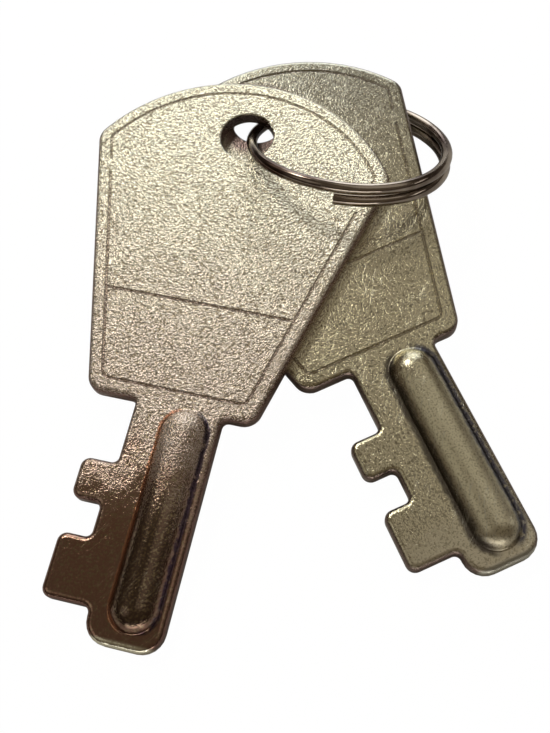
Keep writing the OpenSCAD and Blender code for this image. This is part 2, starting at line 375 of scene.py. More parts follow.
class Wiring:
    """Adds shader nodes to one tree and links them."""

    def __init__(self, tree: bpy.types.NodeTree) -> None:
        """Take the tree to work on."""
        self.tree = tree

    def add(self, kind: str, **settings: object) -> bpy.types.Node:
        """Add a node.

        Args:
            kind: The node's type name.
            settings: Properties of the node, or inputs by name with underscores for spaces.

        Returns:
            The node.
        """
        node = self.tree.nodes.new(kind)
        for key, value in settings.items():
            label = key.replace("_", " ")
            if label in node.inputs and not hasattr(node, key):
                self.feed(node.inputs[label], value)
            else:
                setattr(node, key, value)
        return node

    def feed(self, socket: Socket, value: object) -> None:
        """Link a socket, or set its value.

        Args:
            socket: The input socket.
            value: An output socket, or a plain value, which for a colour is red, green and blue.
        """
        if isinstance(value, Socket):
            self.tree.links.new(value, socket)
        elif socket.type == "RGBA":
            socket.default_value = (*value, 1.0)
        else:
            socket.default_value = value

    def sum(self, operation: str, a: object, b: object = 0.0, c: object = 0.0) -> Socket:
        """Add a Math node.

        Args:
            operation: The Math node's operation.
            a: First value.
            b: Second value.
            c: Third value.

        Returns:
            The result's socket.
        """
        node = self.add("ShaderNodeMath", operation=operation)
        for socket, value in zip(node.inputs, (a, b, c)):
            self.feed(socket, value)
        return node.outputs[0]

    def between(
        self, value: object, low: float, high: float, to_low: float = 0.0, to_high: float = 1.0
    ) -> Socket:
        """Map a value smoothly from one range to another.

        Args:
            value: The value.
            low: Start of its range.
            high: End of its range.
            to_low: Result at the start.
            to_high: Result at the end.

        Returns:
            The result's socket.
        """
        node = self.add("ShaderNodeMapRange", interpolation_type="SMOOTHSTEP")
        labels = ("Value", "From Min", "From Max", "To Min", "To Max")
        for label, number in zip(labels, (value, low, high, to_low, to_high)):
            self.feed(node.inputs[label], number)
        return node.outputs["Result"]

    def blend(self, share: object, first: object, second: object) -> Socket:
        """Mix two colours.

        Args:
            share: Share of the second colour.
            first: First colour.
            second: Second colour.

        Returns:
            The mixed colour's socket.
        """
        node = self.add("ShaderNodeMix", data_type="RGBA", Factor=share)
        colors = [socket for socket in node.inputs if socket.type == "RGBA"]
        self.feed(colors[0], first)
        self.feed(colors[1], second)
        return next(socket for socket in node.outputs if socket.type == "RGBA")

    def noise(self, place: object, scale: object, detail: float, roughness: float = 0.5) -> Socket:
        """Add a cloud of noise.

        Args:
            place: Where it is looked up.
            scale: Its scale.
            detail: How many finer layers it has.
            roughness: Strength of each finer layer.

        Returns:
            The socket of its value.
        """
        node = self.add("ShaderNodeTexNoise", Vector=place, Scale=scale, Detail=detail, Roughness=roughness)
        return node.outputs[0]

    def parts(self, vector: object) -> bpy.types.bpy_prop_collection:
        """Split a vector.

        Args:
            vector: The vector.

        Returns:
            The sockets X, Y and Z.
        """
        return self.add("ShaderNodeSeparateXYZ", Vector=vector).outputs


class GroupWiring(Wiring):
    """Wires up a new shader node group from its inputs to its outputs."""

    def __init__(self, name: str, inputs: dict[str, float | None], outputs: Sequence[str]) -> None:
        """Start the group.

        Args:
            name: The group's name.
            inputs: Name and default of each input; None is a vector.
            outputs: Name of each value output.
        """
        super().__init__(bpy.data.node_groups.new(name, "ShaderNodeTree"))
        sockets = self.tree.interface
        for label, value in inputs.items():
            kind = "NodeSocketVector" if value is None else "NodeSocketFloat"
            socket = sockets.new_socket(name=label, in_out="INPUT", socket_type=kind)
            if value is not None:
                socket.default_value = value
        for label in outputs:
            sockets.new_socket(name=label, in_out="OUTPUT", socket_type="NodeSocketFloat")
        self.given = self.tree.nodes.new("NodeGroupInput").outputs
        self.made = self.tree.nodes.new("NodeGroupOutput").inputs


def build_grain() -> None:
    """Build the shot-blasted grain: a relief of two sizes, a mask of its hollows for painted shade, and a few
    grains that stand out.
    """
    inputs = {"Vector": None, "Grain": 0.2, "Fine": 0.5}
    wire = GroupWiring("blasted_grain", inputs, ("Height", "Pits", "Sparks"))
    place = wire.given["Vector"]
    per_grain = wire.sum("DIVIDE", 1.0, wire.given["Grain"])
    coarse = wire.noise(place, per_grain, 1.0)
    fine = wire.noise(place, wire.sum("MULTIPLY", per_grain, 2.3), 1.0, 0.6)
    cells = wire.add(
        "ShaderNodeTexVoronoi", Vector=place, Scale=per_grain, feature="SMOOTH_F1", Smoothness=0.6
    )
    relief = wire.sum("MULTIPLY_ADD", fine, wire.given["Fine"], coarse)
    wire.feed(wire.made["Height"], wire.sum("MULTIPLY_ADD", cells.outputs[0], 0.45, relief))
    # The relief's low places, which a key's colour darkens as painted shade
    wire.feed(wire.made["Pits"], wire.between(coarse, 0.50, 0.34))
    spots = wire.add("ShaderNodeTexVoronoi", Vector=place, Scale=per_grain)
    chosen = wire.between(wire.parts(spots.outputs["Color"])["X"], 0.86, 0.90)
    dome = wire.between(spots.outputs[0], 0.55, 0.05)
    wire.feed(wire.made["Sparks"], wire.sum("MULTIPLY", dome, chosen))


def build_wear() -> None:
    """Build a patchy mask that grows from one level of the key to another."""
    inputs = {"Vector": None, "From": 0.0, "To": -20.0, "Patches": 3.0, "Raggedness": 0.3}
    wire = GroupWiring("handling_wear", inputs, ("Mask",))
    given = wire.given
    cloud = wire.noise(given["Vector"], wire.sum("DIVIDE", 1.0, given["Patches"]), 3.0, 0.6)
    ragged = wire.sum("MULTIPLY", wire.sum("SUBTRACT", cloud, 0.5), given["Raggedness"])
    reach = wire.sum("SUBTRACT", wire.parts(given["Vector"])["Y"], given["From"])
    span = wire.sum("SUBTRACT", given["To"], given["From"])
    share = wire.sum("ADD", wire.sum("DIVIDE", reach, span), ragged)
    wire.feed(wire.made["Mask"], wire.between(share, 0.0, 1.0))


def build_scratches() -> None:
    """Build fine straight scratches that run one way, broken into short lengths."""
    inputs = {"Vector": None, "Turn": 0.6, "Spacing": 0.5, "Length": 6.0}
    wire = GroupWiring("scratches", inputs, ("Mask",))
    given = wire.given
    turned = wire.add(
        "ShaderNodeVectorRotate", rotation_type="Z_AXIS", Vector=given["Vector"], Angle=given["Turn"]
    )
    parts = wire.parts(turned.outputs[0])
    across = wire.sum("DIVIDE", parts["X"], given["Spacing"])
    along = wire.sum("DIVIDE", parts["Y"], given["Length"])
    stretched = wire.add("ShaderNodeCombineXYZ", X=across, Y=along)
    lines = wire.noise(stretched.outputs[0], 1.0, 2.0, 0.7)
    thin = wire.between(wire.sum("ABSOLUTE", wire.sum("SUBTRACT", lines, 0.5)), 0.012, 0.0)
    lengths = wire.between(wire.noise(given["Vector"], 0.5, 1.0), 0.5, 0.62)
    wire.feed(wire.made["Mask"], wire.sum("MULTIPLY", thin, lengths))


def build_places(sizes: KeySizes) -> None:
    """Build the masks of a key's places: the creases along its rib, its crown, tip, cut edges and hole, which
    carry most of its painted light and shade.

    Args:
        sizes: The key's sizes.
    """
    inputs = {
        "Vector": None, "Middle": sizes.rib_x, "Top": sizes.rib_top, "Low": sizes.rib_low,
        "Reach": sizes.rib_w / 2, "Width": 0.2,
    }
    wire = GroupWiring("key_places", inputs, ("Left", "Right", "Crown", "Tip", "Edge", "Hole"))
    given, made = wire.given, wire.made
    parts = wire.parts(given["Vector"])
    aside = wire.sum("SUBTRACT", parts["X"], given["Middle"])
    held = wire.sum("MINIMUM", wire.sum("MAXIMUM", parts["Y"], given["Low"]), given["Top"])
    along = wire.sum("SUBTRACT", parts["Y"], held)
    apart = wire.sum("SQRT", wire.sum("MULTIPLY_ADD", aside, aside, wire.sum("MULTIPLY", along, along)))
    cloud = wire.noise(given["Vector"], 1.7, 4.0, 0.65)
    loose = wire.sum("MULTIPLY", wire.sum("SUBTRACT", cloud, 0.5), 0.4)
    off = wire.sum("ABSOLUTE", wire.sum("ADD", wire.sum("SUBTRACT", apart, given["Reach"]), loose))
    line = wire.between(wire.sum("DIVIDE", off, given["Width"]), 1.0, 0.35)
    spotted = wire.sum("MULTIPLY", line, wire.between(cloud, 0.30, 0.48))
    # Lines along the rib's foot, where a key's colour paints light and shade into the creases
    wire.feed(made["Left"], wire.sum("MULTIPLY", line, wire.between(aside, -0.2, -1.1)))
    wire.feed(made["Right"], wire.sum("MULTIPLY", spotted, wire.between(aside, 0.2, 1.1)))
    wire.feed(made["Crown"], wire.between(apart, 1.45, 0.95))
    # The blade's lower end, where the colour is set back to bright plate as a painted highlight on its edge
    wire.feed(made["Tip"], wire.between(parts["Y"], sizes.tip_y + 0.5, sizes.tip_y + 0.25))
    # The sheet's side walls and rolled edges, for painted shade
    above = wire.between(parts["Z"], -0.49, -0.40)
    wire.feed(made["Edge"], wire.sum("MULTIPLY", above, wire.between(parts["Z"], 0.48, 0.34)))
    # A ring round the hole, for painted shade
    squares = wire.sum("MULTIPLY_ADD", parts["X"], parts["X"], wire.sum("MULTIPLY", parts["Y"], parts["Y"]))
    wire.feed(made["Hole"], wire.between(wire.sum("SQRT", squares), 3.5, 2.2))


# Finishes


def new_material(name: str) -> tuple[bpy.types.Material, Wiring, bpy.types.Node]:
    """Start a material.

    Args:
        name: The material's name.

    Returns:
        The material, its wiring and its Principled shader.
    """
    made = bpy.data.materials.new(name)
    made.use_nodes = True
    return made, Wiring(made.node_tree), made.node_tree.nodes["Principled BSDF"]


@dataclass(frozen=True)
class KeyFinish:
    """Nickel plate over shot-blasted steel, polished by the lock at its blade; its colour changes from the
    bow towards the blade and carries painted light and shade.

    A span gives the levels on the key where a wear starts and where it is complete. Roughness and relief are
    given for fresh and for worn plate. Lengths are in millimetres.
    """

    name: str
    plate: Color
    pit_shade: Color
    tint: Color
    tarnish: Color
    left_crease_painted_light: Color
    right_crease_shade: Color
    crease_w: float
    edge_shade: Color
    hole_shade: float
    tint_span: Point
    polish_span: Point
    crown_span: Point
    roughness: Point
    relief: Point
    grain: float
    sparks: float
    scratches: float
    rib_painted_light: Color
    rib_share: float
    scratch_relief: float = 0.004
    bump_scale: float = 100.0

    def material(self, place: Matrix) -> bpy.types.Material:
        """Make the material for a key that lies at a place.

        Args:
            place: The key's own frame in the row's frame.

        Returns:
            The material.
        """
        made, wire, shader = new_material(self.name)
        spot = wire.add("ShaderNodeTexCoord").outputs["Object"]
        here = wire.add(
            "ShaderNodeMapping", vector_type="TEXTURE", Vector=spot, Location=place.to_translation(),
            Rotation=place.to_euler(), Scale=(MM, MM, MM),
        ).outputs[0]
        tinted, polished, crown = (
            self._group(
                wire, "handling_wear", Vector=here, From=start, To=end, Patches=patches, Raggedness=ragged
            )["Mask"]
            for (start, end), patches, ragged in (
                (self.tint_span, 3.0, 0.3), (self.polish_span, 1.6, 0.9), (self.crown_span, 1.2, 0.3)
            )
        )
        grain = self._group(wire, "blasted_grain", Vector=here, Grain=self.grain)
        lines = self._group(wire, "scratches", Vector=here)["Mask"]
        places = self._group(wire, "key_places", Vector=here, Width=self.crease_w)
        marks = wire.sum("MULTIPLY", lines, self.scratches)
        worn = wire.sum("MULTIPLY_ADD", wire.sum("SUBTRACT", crown, polished), places["Crown"], polished)
        ridge = wire.sum("MULTIPLY", places["Crown"], crown)
        glint_grains = wire.sum("MULTIPLY", grain["Sparks"], wire.sum("MULTIPLY_ADD", worn, -0.7, 0.9))
        # Each coat over the one before: its mask, how much of its colour shows there, and the colour
        coats = (
            # The colour changes from the bow towards the blade: darker and browner on the front key, paler on
            # the rear key
            (tinted, 1.0, self.tint),
            (polished, 1.0, self.tarnish),
            # Painted light on the rib's crown: painted shade on the front key, a paler colour on the rear key
            (ridge, self.rib_share, self.rib_painted_light),
            # Painted shade in the grain's hollows
            (grain["Pits"], 0.7, self.pit_shade),
            # Painted light in the creases at the rib's foot: a warm painted reflection at the front key's
            # left, painted shade elsewhere
            (places["Left"], 0.8, self.left_crease_painted_light),
            (places["Right"], 0.9, self.right_crease_shade),
            (marks, 0.7, self.plate),
            # Painted glints: the standing grains are lightened towards the plate colour, beside their raised
            # bump
            (glint_grains, 0.5, self.plate),
            # Painted shade round the hole, in the edges' shade colour
            (places["Hole"], self.hole_shade, self.edge_shade),
            # Painted shade on the side walls and rolled edges
            (places["Edge"], 0.85, self.edge_shade),
            # Painted highlight: the tip's lower edge is set back to the bright plate colour
            (places["Tip"], 1.0, self.plate),
        )
        color = self.plate
        for mask, share, coat in coats:
            color = wire.blend(wire.sum("MULTIPLY", mask, share), color, coat)
        wire.feed(shader.inputs["Base Color"], color)
        wire.feed(shader.inputs["Roughness"], wire.between(worn, 0.0, 1.0, *self.roughness))
        shader.inputs["Metallic"].default_value = 1.0
        height = wire.between(worn, 0.0, 1.0, *self.relief)
        cuts = wire.sum("MULTIPLY", marks, self.scratch_relief)
        relief = wire.sum("MULTIPLY_ADD", grain["Height"], height, cuts)
        relief = wire.sum("MULTIPLY_ADD", glint_grains, self.sparks, relief)
        bump = wire.add(
            "ShaderNodeBump", Height=wire.sum("MULTIPLY", relief, self.bump_scale), Strength=1.0,
            Distance=MM / self.bump_scale,
        )
        wire.feed(shader.inputs["Normal"], bump.outputs[0])
        return made

    def _group(self, wire: Wiring, name: str, **inputs: object) -> bpy.types.bpy_prop_collection:
        """Place a node group with its values and give its outputs."""
        return wire.add("ShaderNodeGroup", node_tree=bpy.data.node_groups[name], **inputs).outputs


@dataclass(frozen=True)
class WireFinish:
    """Polished, tarnished wire."""

    name: str = "ring_wire"
    metal: Color = (0.42, 0.36, 0.30)
    tarnish: Color = (0.08, 0.05, 0.04)
    roughness: float = 0.11
    spread: float = 0.08

    def material(self) -> bpy.types.Material:
        """Make the material.

        Returns:
            The material.
        """
        made, wire, shader = new_material(self.name)
        spot = wire.add("ShaderNodeTexCoord").outputs["Object"]
        dull = wire.between(wire.noise(spot, 260.0, 3.0, 0.55), 0.38, 0.66)
        wire.feed(shader.inputs["Base Color"], wire.blend(dull, self.metal, self.tarnish))
        fine = wire.noise(spot, 5200.0, 2.0, 0.6)
        gloss = wire.between(fine, 0.3, 0.7, self.roughness, self.roughness + self.spread)
        wire.feed(shader.inputs["Roughness"], gloss)
        shader.inputs["Metallic"].default_value = 1.0
        bump = wire.add("ShaderNodeBump", Height=fine, Strength=0.15, Distance=0.01 * MM)
        wire.feed(shader.inputs["Normal"], bump.outputs[0])
        return made


# The pit, crease, rib, edge and hole colours and shares below are painted light and shade
FRONT_FINISH = KeyFinish(
    name="front_key_plate", plate=(0.86, 0.83, 0.66), pit_shade=(0.34, 0.27, 0.17), tint=(0.65, 0.56, 0.48),
    tarnish=(0.32, 0.19, 0.14), left_crease_painted_light=(0.55, 0.27, 0.15), right_crease_shade=(0.05, 0.03, 0.06),
    crease_w=0.2, edge_shade=(0.22, 0.13, 0.11), hole_shade=0.0, tint_span=(3.0, -21.0),
    polish_span=(-19.0, -29.0), crown_span=(-21.0, -29.0), roughness=(0.13, 0.17), relief=(0.074, 0.013),
    grain=0.14, sparks=0.021, scratches=0.3, rib_painted_light=(0.09, 0.07, 0.05), rib_share=0.75,
)
REAR_FINISH = KeyFinish(
    name="rear_key_plate", plate=(0.53, 0.52, 0.44), pit_shade=(0.30, 0.26, 0.17), tint=(0.67, 0.62, 0.44),
    tarnish=(0.66, 0.60, 0.45), left_crease_painted_light=(0.02, 0.012, 0.02), right_crease_shade=(0.05, 0.05, 0.09),
    crease_w=0.45, edge_shade=(0.16, 0.10, 0.10), hole_shade=0.85, tint_span=(4.0, -16.0),
    polish_span=(-28.0, -34.0), crown_span=(-19.0, -26.0), roughness=(0.17, 0.36), relief=(0.018, 0.008),
    grain=0.11, sparks=0.014, scratches=1.0, rib_painted_light=(0.66, 0.61, 0.43), rib_share=0.5,
)


# The key


@dataclass
class KeyBlank:
    """One key as the press makes it: blanked, ribbed, pierced and coined.

    The rib's foot runs out into the sheet by its toe. A cutting tool reaches over what it cuts.
    """

    sizes: KeySizes = KeySizes()
    corner_steps: int = 6
    arch_steps: int = 28
    roll_steps: int = 6
    crown_steps: int = 12
    foot_steps: int = 4
    rim_steps: int = 4
    end_sides: int = 56
    bore_sides: int = 96
    divider_sides: int = 16
    crown_end: float = math.radians(87)
    foot_slope: float = math.radians(14)
    toe: float = 0.14
    over: float = 0.3
    sharp: float = 32.0

    def build(self) -> Piece:
        """Model the key flat, in millimetres.

        Returns:
            The key's mesh object.
        """
        bow = self._bow()
        line = self._border_line(copy_of(bow, "border_path"))
        key = self._blade(bow)
        self._round_corners(key)
        self._thicken(key)
        combine(key, self._rib(), Combine.JOIN)
        combine(key, self._rib_hollow(), Combine.CUT)
        combine(key, self._ring_bore(), Combine.CUT)
        combine(key, line, Combine.CUT)
        smooth(key, self.sharp)
        return key

    def _bow(self) -> Piece:
        """Shape the bow: a plane drawn in at its base and arched at its top."""
        s = self.sizes
        tall = s.shoulder_y - s.base_y
        bow = add_shape(
            bpy.ops.mesh.primitive_plane_add, "key_blank", (s.bow_w, tall, 1), size=1,
            location=(0, s.base_y + tall / 2, s.burr),
        )
        with shaping(bow):
            pick(bow, "VERT", lambda at, _: at.y < s.base_y + NEAR)
            bpy.ops.transform.resize(value=(s.bow_base_w / s.bow_w, 1, 1))
            pick(bow, "EDGE", lambda at, _: at.y > s.shoulder_y - NEAR)
            bpy.ops.mesh.subdivide(number_cuts=self.arch_steps - 1)
            shape = bmesh.from_edit_mesh(bow.data)
            top = sorted((v for v in shape.verts if v.co.y > s.shoulder_y - NEAR), key=lambda v: v.co.x)
            for k, vertex in enumerate(top):
                turn = s.arch_half * (2 * k / self.arch_steps - 1)
                vertex.co.x = s.bow_top_r * math.sin(turn)
                vertex.co.y = s.arch_y + s.bow_top_r * math.cos(turn)
            bmesh.update_edit_mesh(bow.data)
        return bow

    def _blade(self, key: Piece) -> Piece:
        """Draw the blade out of the bow's base, row by row, and then its teeth out of the blade's side."""
        s = self.sizes
        base, neck, tooth_1, notch, tooth_2 = s.levels
        with shaping(key, "EDGE"):
            for x in (s.neck_x, s.tip_x, s.back_x):
                bpy.ops.mesh.select_all(action="SELECT")
                bpy.ops.mesh.bisect(plane_co=(x, 0, 0), plane_no=(1, 0, 0))
            for top, low in pairwise((*s.levels, s.tip_y)):
                side = s.tip_x if low == s.tip_y else s.neck_x
                pick(key, "EDGE", lambda at, _: abs(at.y - top) < NEAR and side < at.x < s.back_x)
                extrude_by(y=low - top)
            self._draw_side(key, tooth_2, neck, s.neck_x, s.notch_rise)
            for low, top, reach in ((tooth_1, neck, s.tooth_1_reach), (tooth_2, notch, s.tooth_2_reach)):
                self._draw_side(key, low, top, s.neck_x - s.notch_rise, reach - s.notch_rise)
            pick(key, "VERT", lambda at, _: abs(at.y - base) < NEAR and at.x > s.back_x - NEAR)
            bpy.ops.transform.translate(value=(0, -s.base_step, 0))
            bpy.ops.mesh.select_all(action="SELECT")
            bpy.ops.mesh.dissolve_limited(angle_limit=math.radians(0.5))
        return key

    def _draw_side(self, key: Piece, low: float, top: float, x: float, reach: float) -> None:
        """Extrude the blade's toothed side between two levels."""
        pick(key, "EDGE", lambda at, way: abs(at.x - x) < NEAR and low < at.y < top and abs(way.y) > NEAR)
        extrude_by(x=-reach)

    def _round_corners(self, key: Piece) -> None:
        """Round every corner of the outline with its own radius."""
        s = self.sizes
        base, neck, tooth_1, notch, tooth_2 = s.levels
        for x, y, radius in (
            (s.bow_base_w / 2, base - s.base_step, s.bow_corner_r),
            (-s.bow_base_w / 2, base, s.bow_corner_r),
            (s.bow_w / 2, s.shoulder_y, s.bow_corner_r),
            (-s.bow_w / 2, s.shoulder_y, s.bow_corner_r),
            (s.neck_x, base, s.inner_r),
            (s.back_x, base - s.base_step, s.inner_r),
            (s.neck_x, neck, s.inner_r),
            (s.neck_x - s.tooth_1_reach, neck, s.tooth_r),
            (s.neck_x - s.tooth_1_reach, tooth_1, s.tooth_r),
            (s.neck_x - s.notch_rise, tooth_1, s.inner_r),
            (s.neck_x - s.notch_rise, notch, s.inner_r),
            (s.neck_x - s.tooth_2_reach, notch, s.tooth_r),
            (s.neck_x - s.tooth_2_reach, tooth_2, s.tooth_r),
            (s.tip_x, tooth_2, s.inner_r),
            (s.tip_x, s.tip_y, s.tip_r),
            (s.back_x, s.tip_y, s.tip_r),
        ):
            round_corner(key, (x, y), radius, self.corner_steps)

    def _thicken(self, key: Piece) -> None:
        """Give the blank its thickness, its rolled upper edge and its broken lower edge."""
        s = self.sizes
        with shaping(key):
            extrude_by(z=s.sheet - s.roll - s.burr)
            press(arc((0.0, s.sheet - s.roll), s.roll, 0.0, math.pi / 2, self.roll_steps))
            pick(key, "FACE", lambda at, way: at.z < s.burr + NEAR and way.z < -LEVEL)
            press([(s.burr, 0.0), (0.0, s.burr)])
            face_outwards()

    def _bar(self, name: str, half: float, height: float) -> Piece:
        """Make a flat bar with round ends, where the rib lies."""
        s = self.sizes
        middle = (s.rib_top + s.rib_low) / 2
        bar = add_shape(
            bpy.ops.mesh.primitive_circle_add, name, vertices=self.end_sides, radius=half, fill_type="NGON",
            location=(s.rib_x, middle, height), rotation=(0, 0, math.pi / self.end_sides),
        )
        with shaping(bar):
            pick(bar, "VERT", lambda at, _: at.y > middle)
            bpy.ops.transform.translate(value=(0, s.rib_top - middle, 0))
            pick(bar, "VERT", lambda at, _: at.y < middle)
            bpy.ops.transform.translate(value=(0, s.rib_low - middle, 0))
        return bar

    def _crown(self) -> tuple[float, float]:
        """Give the radius of the rib's crown and the height of its middle."""
        s = self.sizes
        radius = (s.rib_h ** 2 + s.rib_w ** 2 / 4) / (2 * s.rib_h)
        return radius, s.sheet + s.rib_h - radius

    def _rib(self) -> Piece:
        """Raise the rib: up from inside the sheet, round its foot and over its crown."""
        s = self.sizes
        radius, middle = self._crown()
        foot_z = s.sheet + s.rib_foot_r
        foot_x = math.sqrt((radius + s.rib_foot_r) ** 2 - (foot_z - middle) ** 2)
        meet = math.atan2(foot_z - middle, foot_x)
        foot = arc(
            (foot_x, foot_z), s.rib_foot_r, -math.pi / 2 - self.foot_slope, meet - math.pi, self.foot_steps
        )
        toe = (foot[0][0] + self.toe, foot[0][1] - self.toe * math.tan(self.foot_slope))
        crown = arc((0.0, middle), radius, meet, self.crown_end, self.crown_steps)[1:]
        rib = self._bar("rib", toe[0], s.sheet / 2)
        with shaping(rib):
            extrude_by(z=toe[1] - s.sheet / 2)
            press([toe, *foot, *crown])
            face_outwards()
        return rib

    def _rib_hollow(self) -> Piece:
        """Make the shape of the hollow that the press leaves behind the rib."""
        s = self.sizes
        radius, middle = self._crown()
        inner = radius - s.rib_wall
        mouth = inner + s.rib_mouth + self.over
        crown = arc((0.0, middle), inner, 0.0, self.crown_end, self.crown_steps)
        hollow = self._bar("rib_hollow", mouth, -self.over)
        with shaping(hollow):
            extrude_by(z=NEAR)
            press([(mouth - NEAR, NEAR - self.over), (inner, s.rib_mouth), *crown])
            face_outwards()
        return hollow

    def _ring_bore(self) -> Piece:
        """Make the punch that pierces the hole and rolls its rim over."""
        s = self.sizes
        half = s.hole_d / 2
        start = s.sheet - s.hole_rim
        punch = add_shape(
            bpy.ops.mesh.primitive_cylinder_add, "ring_bore", vertices=self.bore_sides, radius=half,
            depth=start + 1, location=(0, 0, (start - 1) / 2),
        )
        rim = arc((half + s.hole_rim, start), s.hole_rim, math.pi, math.pi / 2, self.rim_steps)
        rim.append((rim[-1][0] + self.over, s.sheet + self.over))
        with shaping(punch):
            pick(punch, "FACE", lambda _, way: way.z > LEVEL)
            for (wide, height), (next_wide, next_height) in pairwise(rim):
                extrude_by(z=next_height - height)
                bpy.ops.transform.resize(value=(next_wide / wide, next_wide / wide, 1))
        return punch

    def _border_line(self, path: Piece) -> Piece:
        """Make the die of the coined border and divider: a round-edged line that follows the bow."""
        s = self.sizes
        depth_r = (s.line_w ** 2 / 4 + s.line_depth ** 2) / (2 * s.line_depth)
        height = s.sheet - s.line_depth + depth_r
        edge = s.line_inset + s.line_w / 2
        with shaping(path):
            bpy.ops.mesh.inset(thickness=edge, depth=0, use_boundary=True, use_even_offset=True)
            bpy.ops.mesh.select_all(action="INVERT")
            bpy.ops.mesh.delete(type="FACE")
            bpy.ops.mesh.select_all(action="SELECT")
            bpy.ops.transform.translate(value=(0, 0, height - s.burr))
        corners = [v.co.copy() for v in path.data.vertices]
        base = sorted(corners, key=lambda c: c.y)[:2]
        shoulders = (min(corners, key=lambda c: c.x), max(corners, key=lambda c: c.x))
        for corner in (*base, *shoulders):
            round_corner(path, (corner.x, corner.y), s.line_corner_r, self.corner_steps)
        with shaping(path):
            bpy.ops.mesh.delete(type="ONLY_FACE")
        choose(path)
        bpy.ops.object.convert(target="CURVE")
        path.data.bevel_depth = depth_r
        path.data.bevel_resolution = 3
        bpy.ops.object.convert(target="MESH")
        die = bpy.context.object
        with shaping(die):
            face_outwards()
        gap = add_shape(
            bpy.ops.mesh.primitive_cube_add, "line_gap", (2 * s.bow_w, s.line_gap, 2), size=1,
            location=(0, -s.line_gap_at, height),
        )
        combine(die, gap, Combine.CUT)
        combine(die, self._divider(depth_r, height, edge), Combine.JOIN)
        return die

    def _divider(self, radius: float, height: float, edge: float) -> Piece:
        """Make the line that closes off the lower panel."""
        s = self.sizes
        y = s.base_y + s.line_inset + s.panel_h
        slope = (s.bow_w - s.bow_base_w) / 2 / (s.shoulder_y - s.base_y)
        half = s.bow_base_w / 2 + slope * (y - s.base_y) - edge * math.hypot(1, slope)
        return add_shape(
            bpy.ops.mesh.primitive_cylinder_add, "divider", vertices=self.divider_sides, radius=radius,
            depth=2 * half, location=(0, y, height), rotation=(0, math.pi / 2, 0),
        )


def round_corner(flat: Piece, spot: Point, radius: float, steps: int) -> None:
    """Round one corner of a flat face.

    Args:
        flat: An object with one flat face.
        spot: The corner's place.
        radius: The corner's radius.
        steps: Edges in its arc.
    """
    ring = [flat.data.vertices[i].co for i in flat.data.polygons[0].vertices]
    here = min(range(len(ring)), key=lambda i: math.dist(ring[i].xy, spot))
    before, after = ring[here - 1] - ring[here], ring[(here + 1) % len(ring)] - ring[here]
    slide = radius / math.tan(before.angle(after) / 2)
    place = ring[here].copy()
    with shaping(flat, "VERT"):
        pick(flat, "VERT", lambda at, _: (at - place).length < NEAR)
        bpy.ops.mesh.bevel(offset=slide, segments=steps, affect="VERTICES", profile=0.5, clamp_overlap=False)


def resting(joint_name: str) -> Matrix:
    """Give the frame of a key's hole with the pair as it lies, before the key is turned about it.

    Args:
        joint_name: The key's joint.

    Returns:
        The frame in the row's frame: turned first about Y and then about X.
    """
    joint = next(j for j in frame["joints"] if j["name"] == joint_name)
    up = Vector(joint["axis"]).normalized()
    bank = Matrix.Rotation(math.asin(up.x), 4, "Y")
    lift = Matrix.Rotation(math.atan2(-up.y, up.z), 4, "X")
    return Matrix.Translation(joint["pos_m"]) @ lift @ bank


@dataclass
class StampedKey:
    """A finished key of the pair, where it lies."""

    name: str
    node: str
    body: str
    joint: str
    turn: float
    finish: KeyFinish
    sheet: float = KeySizes.sheet

    @property
    def place(self) -> Matrix:
        """The key's own frame: its hole's middle, turned as it lies."""
        return resting(self.joint) @ Matrix.Rotation(math.radians(self.turn), 4, "Z")

    def build(self, blank: Piece) -> Piece:
        """Copy the blank to where this key lies and give it its finish.

        Args:
            blank: The key as the press makes it.

        Returns:
            The finished key.
        """
        key = copy_of(blank, self.name)
        put(key, self.place @ Matrix.Scale(MM, 4) @ Matrix.Translation((0, 0, -self.sheet / 2)))
        self.dress(key)
        return key

    def dress(self, key: Piece) -> None:
        """Give the key its finish and its place in the model."""
        key.data.materials.clear()
        key.data.materials.append(self.finish.material(self.place))
        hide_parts(self.node)
        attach(key, self.body)


# The ring


